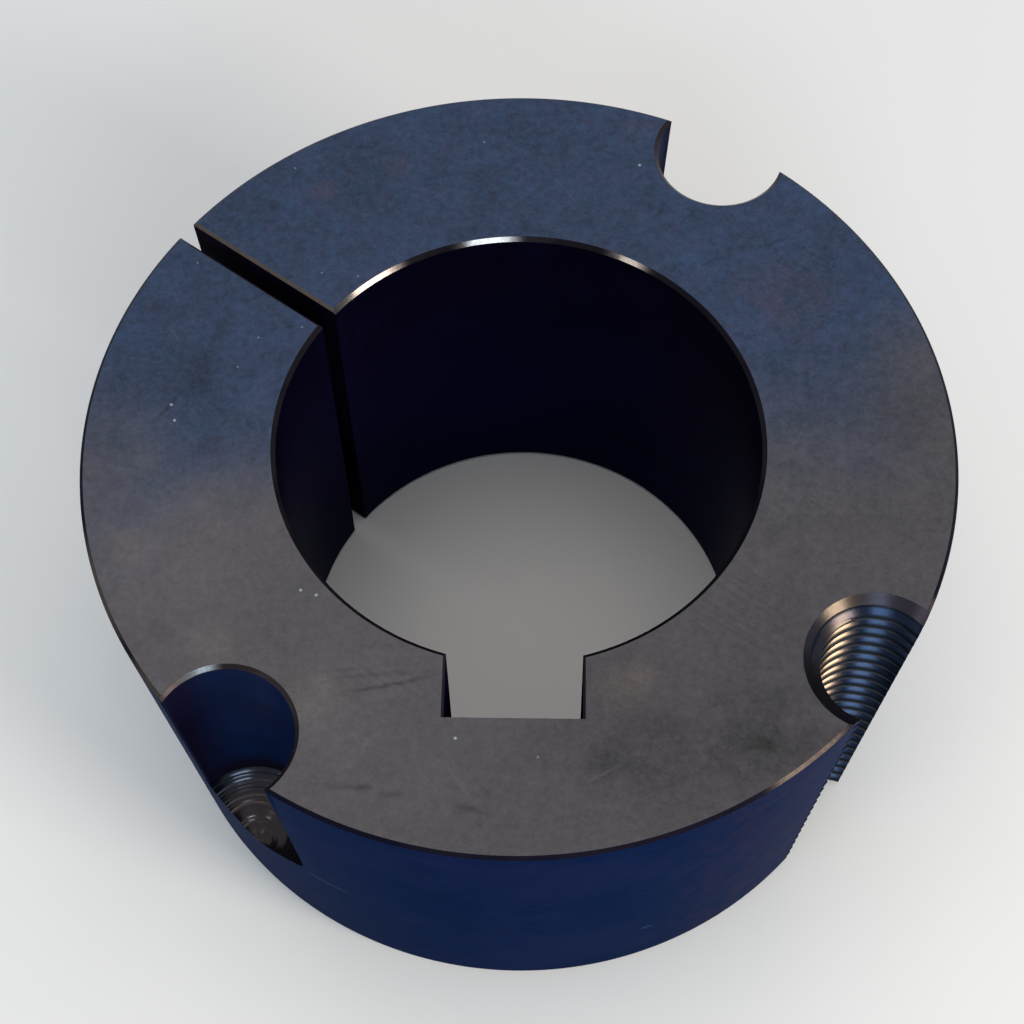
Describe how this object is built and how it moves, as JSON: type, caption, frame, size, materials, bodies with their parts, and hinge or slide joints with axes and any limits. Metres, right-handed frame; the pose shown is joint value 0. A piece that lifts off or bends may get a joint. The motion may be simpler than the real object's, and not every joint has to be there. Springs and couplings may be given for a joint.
{
  "type": "taper bush",
  "caption": "Split conical bush with a keyed bore, and half-holes down its cone for the screws that clamp it in a hub and jack it out.",
  "frame": {"origin": "centre of the bore in the small end's face, which the bush stands on", "axes": "+Z along the bore to the large end, -Y through the middle of the keyway"},
  "size_m": [0.0856, 0.0856, 0.0444],
  "materials": {
    "black_oxide_steel": "satin black oxide"
  },
  "bodies": {
    "root": {"taper_bush": "black_oxide_steel"}
  },
  "joints": []
}
